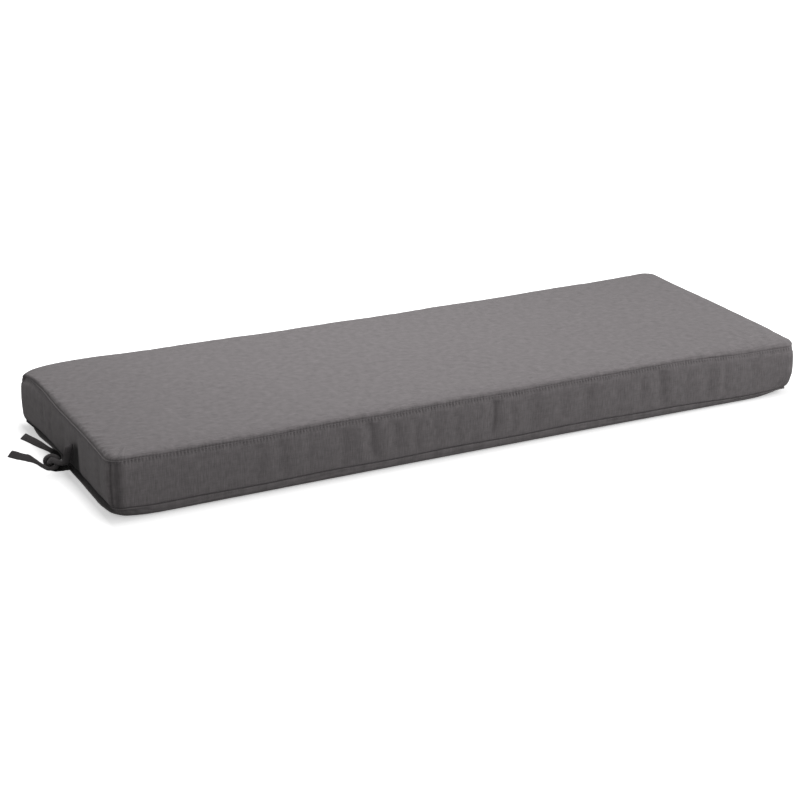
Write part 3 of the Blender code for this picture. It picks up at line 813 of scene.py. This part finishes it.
WEAVE = make_weave_group()
RELIEF = {"Strength": 0.5, "Distance": 0.00025}
CLOTH_FINISH = {"Roughness": 0.92, "Specular IOR Level": 0.25, "Sheen Weight": 0.12, "Sheen Roughness": 0.5}


def new_material(name):
    """A material with its node tree and its shader."""
    material = bpy.data.materials.new(name)
    material.use_nodes = True
    return material, material.node_tree, material.node_tree.nodes["Principled BSDF"]


def cloth_material(name, grey, threads, contrasts):
    """A matte woven cloth: the group's shade times the grey, its height as a bump, and a little sheen.

    Where the mesh's own attribute says so the colour is darker: painted shade. It is 0 on a piece without
    one.
    """
    material, tree, shader = new_material(name)
    material.diffuse_color = (*grey, 1.0)
    link = tree.links.new
    weave = tree.nodes.new("ShaderNodeGroup")
    weave.node_tree = WEAVE
    set_inputs(weave, dict(zip(WEAVE_INPUTS, (threads, *contrasts))))
    colour = tree.nodes.new("ShaderNodeVectorMath")
    colour.operation = "SCALE"
    colour.inputs[0].default_value = grey
    dark = tree.nodes.new("ShaderNodeAttribute")
    dark.attribute_name = "dark"
    kept = math_node(tree, "SUBTRACT", 1.0, dark.outputs["Fac"])
    link(math_node(tree, "MULTIPLY", weave.outputs["Shade"], kept), colour.inputs["Scale"])
    link(colour.outputs[0], shader.inputs["Base Color"])
    relief = tree.nodes.new("ShaderNodeBump")
    set_inputs(relief, RELIEF)
    link(weave.outputs["Height"], relief.inputs["Height"])
    link(relief.outputs[0], shader.inputs["Normal"])
    set_inputs(shader, CLOTH_FINISH)
    return material


COVER_GREY = (0.206, 0.190, 0.194)
TIE_GREY = (0.130, 0.121, 0.124)
# Each has its threads for a metre, and the contrasts of its threads, slubs and patches.
cover_cloth = cloth_material("grey_cover_cloth", COVER_GREY, 900.0, (0.3, 0.40, 0.36))
tie_cloth = cloth_material("grey_tie_cloth", TIE_GREY, 1100.0, (0.25, 0.3, 0.15))

# %% The cover
cover = make_cover(cover_cloth)
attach(cover, "root")
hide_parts("cushion")
triangles = sum(len(face.vertices) - 2 for face in cover.data.polygons)
print("cover:", triangles, "triangles")

# %% [markdown]
# ## The stitches of the top seam
#
# The thread shows as a row of short dashes on the boxing, each between two needle holes where the cloth is
# pinched. Each is a small capsule, and all of them are one mesh made from an array: a ring of six points
# carried along five stations.

# %% The stitches of the top seam
STITCH_LENGTH = 0.0030
STITCH_THICK = 0.00055
STITCH_DROP = -3.0  # mm above the seam
STITCH_SIDES = 6
STITCH_PROFILE = ((-1.0, 0.05), (-0.85, 0.75), (0.0, 1.0), (0.85, 0.75), (1.0, 0.05))
AT_TOP_SEAM = 1.999  # the share from which a row is taken to lie at the top seam


def section_at(lift):
    """The section's row at a height beside the top seam, read off between the rows of the boxing's edge."""
    rows = LEVELS[(PANEL == BOXING) & (LEVELS[:, 1] >= AT_TOP_SEAM)]
    return np.array([np.interp(lift, rows[:, 2], column) for column in rows.T])


def tube_faces(rings, sides):
    """Faces of a closed tube of rings of points: quads between neighbours, and one face over each end."""
    ring, spoke = np.meshgrid(np.arange(rings - 1) * sides, np.arange(sides), indexing="ij")
    after = (spoke + 1) % sides
    quads = np.stack([ring + spoke, ring + after, ring + sides + after, ring + sides + spoke], axis=-1)
    start, end = np.arange(sides)[None, ::-1], (rings - 1) * sides + np.arange(sides)[None, :]
    return [quads.reshape(-1, 4), start, end]


def make_stitches(material):
    """A capsule for each stitch: its middle on the seam's row, its run along the outline, half sunk in."""
    row, _ = row_points(section_at(STITCH_DROP), np.arange(len(STATIONS["side"])))
    around = np.append(STATIONS["distance"], AROUND)
    closed = np.vstack([row, row[:1]])
    centres = (np.arange(STITCHES) + 0.5) * AROUND / STITCHES

    def on_seam(distance):
        return np.stack([np.interp(distance % AROUND, around, closed[:, axis]) for axis in range(3)], axis=-1)

    run = on_seam(centres + STITCH_LENGTH / 2) - on_seam(centres - STITCH_LENGTH / 2)
    run, up = unit(run), np.array((0.0, 0.0, 1.0))
    out = unit(np.cross(run, up))
    middle, run, out = (part[:, None, None] for part in (on_seam(centres), run, out))
    turn = (2 * math.pi * np.arange(STITCH_SIDES) / STITCH_SIDES)[:, None]
    ahead, radius = (np.array(STITCH_PROFILE) * (STITCH_LENGTH / 2, STITCH_THICK / 2)).T[:, :, None, None]
    swing = out * np.cos(turn) + up * np.sin(turn)
    points = (middle + run * ahead + swing * radius).reshape(-1, 3)
    first = (np.arange(STITCHES) * len(STITCH_PROFILE) * STITCH_SIDES)[:, None, None]
    tube = tube_faces(len(STITCH_PROFILE), STITCH_SIDES)
    faces = [(first + block).reshape(-1, block.shape[1])[:, ::-1] for block in tube]
    uvs = [points[:, (0, 2)][block] for block in faces]
    return mesh_object("top_seam_stitches", points, faces, uvs, material)


stitches = make_stitches(cover_cloth)
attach(stitches, "root")
print("stitches:", STITCHES)

# %% [markdown]
# ## The ties
#
# Each tie is a flat strap. Its run is a smooth curve through listed stations, and at each station it has a
# direction for its width, a width and a thickness: narrow and thick where the knot bunches it. The section is
# a flat oblong with round edges, carried along that curve.

# %% The ties
STRAP_STEPS = 360
FLAT = (0.0, 1.0, 0.0)
ROUND_THE_KNOT = (0.20, 0.98, 0.00)
STRAP_WIDTH = 0.0104
PLAIN_SIZE = (round(STRAP_WIDTH / MM, 3), 2.0)  # width and thickness in mm, where nothing bunches the strap
# out, along, up: mm, as for the spots of painted shade.  across: the direction of the width.  wide, thick:
# mm.
Station = namedtuple("Station", "out along up across wide thick", defaults=PLAIN_SIZE)
HIGH_TIE = tuple(Station(*row) for row in (
    (0, 0, 15.4, FLAT), (3.4, -0.4, 16.9, FLAT), (5.2, -3, 23.5, FLAT), (5, -8, 33.5, FLAT),
    (5.4, -14.5, 43.5, (0.25, 0.96, -0.10)), (7.1, -21.5, 51.8, (0.73, 0.52, -0.44), 9.8, 2.2),
    (8.2, -25.5, 51.9, (0.83, 0.33, -0.46), 9, 2.4), (9.4, -25.1, 46.2, (0.88, 0.41, -0.25), 10, 2.2),
    (9.3, -21, 40.9, (0.90, 0.43, -0.05), 10.2, 2), (8.7, -16, 33, (0.88, 0.45, 0.15), 9.4, 2.2),
    (10.4, -11.2, 26.3, (0.72, 0.50, 0.48), 8, 2.8), (13.7, -6.6, 24.4, (0.45, 0.56, 0.70), 7.4, 5),
    (17.5, -3.2, 24.9, (0.15, 0.35, 0.93), 6.8, 5), (21.4, 1.4, 26.2, (-0.19, -0.15, 0.97), 7.4, 5),
    (24.2, 6, 24.8, (-0.50, -0.18, 0.85), 7.8, 5.4), (24.1, 11, 20.3, (-0.80, -0.21, 0.56), 8.2, 6.8),
    (19.2, 17, 16.4, (-0.88, -0.28, 0.38), 8.8, 6.6), (12.7, 21.6, 14.5, (-0.81, -0.32, 0.49), 8.4, 4),
    (8, 25.6, 17.8, (-0.76, -0.39, 0.51), 8.2, 2.4), (10.1, 30.6, 23.2, (-0.50, -0.42, 0.76), 9, 2),
    (16.7, 38, 27.9, (-0.14, -0.62, 0.77), 9.8, 2), (26.6, 48.6, 33.5, (-0.40, -0.22, 0.89), 10.2, 2),
    (34.6, 60.6, 37, (-0.44, -0.09, 0.89), 10.2, 2), (40.3, 71, 38.8, (-0.49, -0.01, 0.87), 10.2, 2),
))
LOW_TIE = tuple(Station(*row) for row in (
    (0, 0, 12.6, FLAT), (3.4, 0.2, 12.5, (0, 0.99, 0.10), 10.2, 2),
    (7.4, 3.4, 12.6, (-0.06, 0.90, 0.42), 9.2, 2.2), (12.2, 8.4, 11, (-0.10, 0.79, 0.61), 8.2, 4.4),
    (16.9, 15, 8.6, (0, 0.92, 0.40), 7, 5.8), (23.9, 19.4, 10.8, ROUND_THE_KNOT, 6.6, 6.6),
    (27.1, 21, 18.7, ROUND_THE_KNOT, 6.4, 5.8), (24.8, 19.8, 24, ROUND_THE_KNOT, 6.4, 5.8),
    (19.6, 15.8, 26.7, ROUND_THE_KNOT, 6.6, 6.2), (14.8, 10.4, 25.1, ROUND_THE_KNOT, 7, 7),
    (14.5, 6.4, 20.3, ROUND_THE_KNOT, 7, 7), (19.5, 4, 15.3, (0.05, 0.93, -0.36), 6.4, 6.6),
    (27.7, 5.4, 14.3, (-0.12, 0.72, -0.68), 7.2, 4.6), (34.5, 10.6, 17.7, (-0.21, 0.30, -0.93), 8, 2.6),
    (39.9, 18.4, 21.4, (-0.30, 0.05, -0.95), 8.8, 2.2), (45.5, 28.5, 23.3, (-0.12, -0.50, -0.86), 9.6, 2),
    (51.6, 40.5, 22.3, (-0.04, -0.60, -0.80), 10, 2), (57, 51.5, 21.6, (-0.10, -0.62, -0.78), 10.2, 2),
    (62.2, 61.5, 21.2, (-0.23, -0.57, -0.79), 10.2, 2),
))
STRAP_PROFILE = 36
PLEATS, PLEAT_DEPTH = 7, 0.05
BUNCHED = (0.22, 0.42)  # thickness over width: from flat to bunched
FLAT_POWER, BUNCHED_POWER = 0.5, 0.9
STITCH_LINE, STITCH_LINE_HALF = 0.76, 0.09  # the edge stitching's place, as shares of the half width
STITCH_LINE_DEPTH = 0.16  # and as a share of the half thickness
HEM_LENGTH, HEM_EDGE, HEM_RISE = 6.5, 0.6, 0.45  # mm turned back at the free end, mm to rise, share it adds
STRAP_RIPPLE, STRAP_RIPPLE_SPACING = 0.05, 7.0  # a share of the width, and mm
STRAP_CUP, STRAP_CUP_SPACING = 0.10, 18.0  # a share of the thickness, and mm
SLANT_REACH = 12.0  # mm of the free end over which its slanting cut is drawn out


def along_stations(rows, count):
    """Middle, width's direction and size at even steps along the stations (Catmull-Rom, ends repeated)."""
    table = np.array([(row.out, row.along, row.up, *row.across, row.wide, row.thick) for row in rows])
    table[:, 3:6] = unit(table[:, 3:6])
    padded = np.vstack([table[:1], table, table[-1:]])
    t = np.linspace(0.0, len(rows) - 1, count)
    index = np.minimum(t.astype(int), len(rows) - 2)
    s = (t - index)[:, None]
    before, start, end, after = (padded[index + step] for step in range(4))
    return 0.5 * (
        2 * start + (end - before) * s
        + (2 * before - 5 * start + 4 * end - after) * s**2
        + (3 * start - before - 3 * end + after) * s**3
    )


def strap_section(bunched):
    """Sections along a strap: (share of half width, share of half thickness) for every step and point.

    Round the section the width follows a cosine and the thickness a sine. Both go to a low power where the
    strap is flat, which fills the corners, and to a power near one where it is bunched, which is nearly an
    ellipse. A narrow bell sinks the edge stitching, and bunching adds a few pleats, as a quick cosine.
    """
    turn = 2 * math.pi * (np.arange(STRAP_PROFILE) + 0.5) / STRAP_PROFILE
    power = (FLAT_POWER + (BUNCHED_POWER - FLAT_POWER) * bunched)[:, None]
    wide, thick = (np.sign(wave) * np.abs(wave) ** power for wave in (np.cos(turn), np.sin(turn)))
    line = bump(np.abs(wide) - STITCH_LINE, STITCH_LINE_HALF)
    sunk = STITCH_LINE_DEPTH * (1.0 - bunched[:, None]) * line
    pleats = PLEAT_DEPTH * bunched[:, None] * np.cos(PLEATS * turn)
    return wide * (1.0 + 0.5 * pleats), thick * (1.0 - sunk + pleats)


def make_strap(name, rows, material, seed, slant):
    """One tie: its section carried along the curve, closed at both ends, with a hem at its free end.

    slant: mm that one corner of the free end stands ahead of its middle, and the other behind it.
    """
    path = along_stations(rows, STRAP_STEPS)
    middle, across, size = path[:, 0:3], path[:, 3:6], path[:, 6:8]
    run = np.gradient(middle, axis=0)
    run[0] = (1.0, 0.0, 0.0)
    run = unit(run)
    across = unit(across - np.sum(across * run, axis=1, keepdims=True) * run)
    through = np.cross(run, across)
    gone = np.append(0.0, np.cumsum(np.linalg.norm(np.diff(middle, axis=0), axis=1)))
    wide, thick = strap_section(ramp(*BUNCHED, size[:, 1] / size[:, 0]))
    ripple = 1.0 + STRAP_RIPPLE * wander(gone, STRAP_RIPPLE_SPACING, seed)
    cup = STRAP_CUP * wander(gone, STRAP_CUP_SPACING, seed + 1)
    hem_start = gone[-1] - HEM_LENGTH
    hem = 1.0 + HEM_RISE * ramp(hem_start - HEM_EDGE, hem_start, gone)
    leaning = slant * ramp(gone[-1] - SLANT_REACH, gone[-1], gone)
    half_wide = (size[:, 0] / 2 * ripple)[:, None] * wide
    half_thick = (size[:, 1] / 2 * hem)[:, None] * (thick + cup[:, None] * (1 - wide**2))
    local = (
        middle[:, None] + across[:, None] * half_wide[..., None] + through[:, None] * half_thick[..., None]
        + run[:, None] * (leaning[:, None] * wide)[..., None]
    )
    origin = np.array((end_face_x() - CLEARANCE, TIE_PLACE, 0.0))
    points = (origin + local * MM * np.array((-1.0, 1.0, 1.0))).reshape(-1, 3)
    faces = tube_faces(STRAP_STEPS, STRAP_PROFILE)
    place = np.stack(np.broadcast_arrays(half_wide * MM, (gone * MM)[:, None]), axis=-1).reshape(-1, 2)
    # The strap gets painted shade from the spots round the knot.
    obj = mesh_object(name, points, faces, [place[block] for block in faces], material, knot_painted_shade(*points.T))
    return obj, gone[-1] * MM


# piece, node that it stands for, stations, seed, and mm of slant
TIES = (("tie_strap_high", "tie_high", HIGH_TIE, 51, -2.7), ("tie_strap_low", "tie_low", LOW_TIE, 61, 4.5))
for name, node, rows, seed, slant in TIES:
    strap, strap_length = make_strap(name, rows, tie_cloth, seed, slant)
    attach(strap, "root")
    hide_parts(node)
    print(name, "is", round(strap_length * 1000), "mm long")

# %% [markdown]
# ## Floor and light
#
# The photo's ground is a plain white sweep, lit softly from above and from the right. A big soft panel hangs
# overhead, a second one stands to the right and a third to the front right, and a dim white world fills the
# shadows.

# %% Floor and light
FLOOR_SIZE = 30.0
FLOOR_SEEN, FLOOR_BOUNCE = 0.9, 0.32  # its white to the camera, and its grey to light that bounces
# The glow's strength beside the cushion and far away, where it is full, and the power of its curve. Its dip
# beside the cushion is a painted shadow.
GLOW_NEAR, GLOW_FAR, GLOW_REACH, GLOW_POWER = 0.43, 0.81, 0.10, 0.6
LEFT_STRETCH = 5.0  # how many times distances to the left count, since the shadow is short there
WORLD_STRENGTH = 0.39
# Each panel's name, place, what it faces, size in metres and power in watts.
PANELS = (
    ("light_overhead", (-0.08, 0.15, 0.88), (-0.08, 0.15, 0.0), 0.75, 4.6),
    ("light_right", (1.8, -0.6, 0.9), (0.3, 0.0, 0.0), 0.9, 13.4),
    ("light_front_right", (1.3, -1.6, 0.9), (0.3, 0.0, 0.0), 0.9, 7.2),
)


def make_floor():
    """A square sheet of four corners that the cushion rests on.

    To the camera it is white and glows a little, like a lit sweep, more so away from the cushion: the weaker
    glow beside the cushion is a painted shadow. To light that bounces it is a mid grey, so that it doesn't
    flood the cushion's sides from below. The distance is that from a point to the cushion's rectangle: the
    length of what its x and y have beyond the sides.
    """
    half = FLOOR_SIZE / 2
    points = np.array(((-half, -half, 0.0), (half, -half, 0.0), (half, half, 0.0), (-half, half, 0.0)))
    white, tree, shader = new_material("floor_white")

    def calc(operation, *values):
        return math_node(tree, operation, *values)

    link = tree.links.new
    seen = tree.nodes.new("ShaderNodeLightPath").outputs["Is Camera Ray"]
    link(calc("MULTIPLY_ADD", seen, FLOOR_SEEN - FLOOR_BOUNCE, FLOOR_BOUNCE), shader.inputs["Base Color"])
    place = tree.nodes.new("ShaderNodeSeparateXYZ")
    link(tree.nodes.new("ShaderNodeTexCoord").outputs["Object"], place.inputs[0])
    beyond_left = calc("MULTIPLY_ADD", place.outputs[0], -LEFT_STRETCH, -LEFT_STRETCH * LENGTH / 2)
    beyond_right = calc("SUBTRACT", place.outputs[0], LENGTH / 2)
    beyond_side = calc("SUBTRACT", calc("ABSOLUTE", place.outputs[1]), WIDTH / 2)
    beyond = calc("MAXIMUM", beyond_left, beyond_right), beyond_side
    squares = calc("ADD", *(calc("POWER", calc("MAXIMUM", reach, 0.0), 2.0) for reach in beyond))
    away = calc("MINIMUM", calc("DIVIDE", calc("SQRT", squares), GLOW_REACH), 1.0)
    glow = calc("MULTIPLY_ADD", calc("POWER", away, GLOW_POWER), GLOW_FAR - GLOW_NEAR, GLOW_NEAR)
    link(calc("MULTIPLY", seen, glow), shader.inputs["Emission Strength"])
    set_inputs(shader, {"Emission Color": (1.0, 1.0, 1.0, 1.0), "Roughness": 1.0, "Specular IOR Level": 0.0})
    face = np.arange(4)[None, :]
    return mesh_object("floor", points, [face], [points[:, :2][face]], white)


def soft_panel(name, place, aim, size, power):
    """A square area light at a place, turned to face its aim."""
    data = bpy.data.lights.new(name, "AREA")
    data.size = size
    data.energy = power
    away = unit(np.array(place) - aim)
    side = unit(np.cross((0.0, 1.0, 0.0), away))
    put(name, data, place, side, np.cross(away, side), away)


floor = make_floor()
for panel in PANELS:
    soft_panel(*panel)

world = bpy.data.worlds.new("studio")
world.use_nodes = True
set_inputs(world.node_tree.nodes["Background"], {"Color": (1.0, 1.0, 1.0, 1.0), "Strength": WORLD_STRENGTH})
bpy.context.scene.world = world
bpy.context.scene.view_settings.view_transform = "Standard"
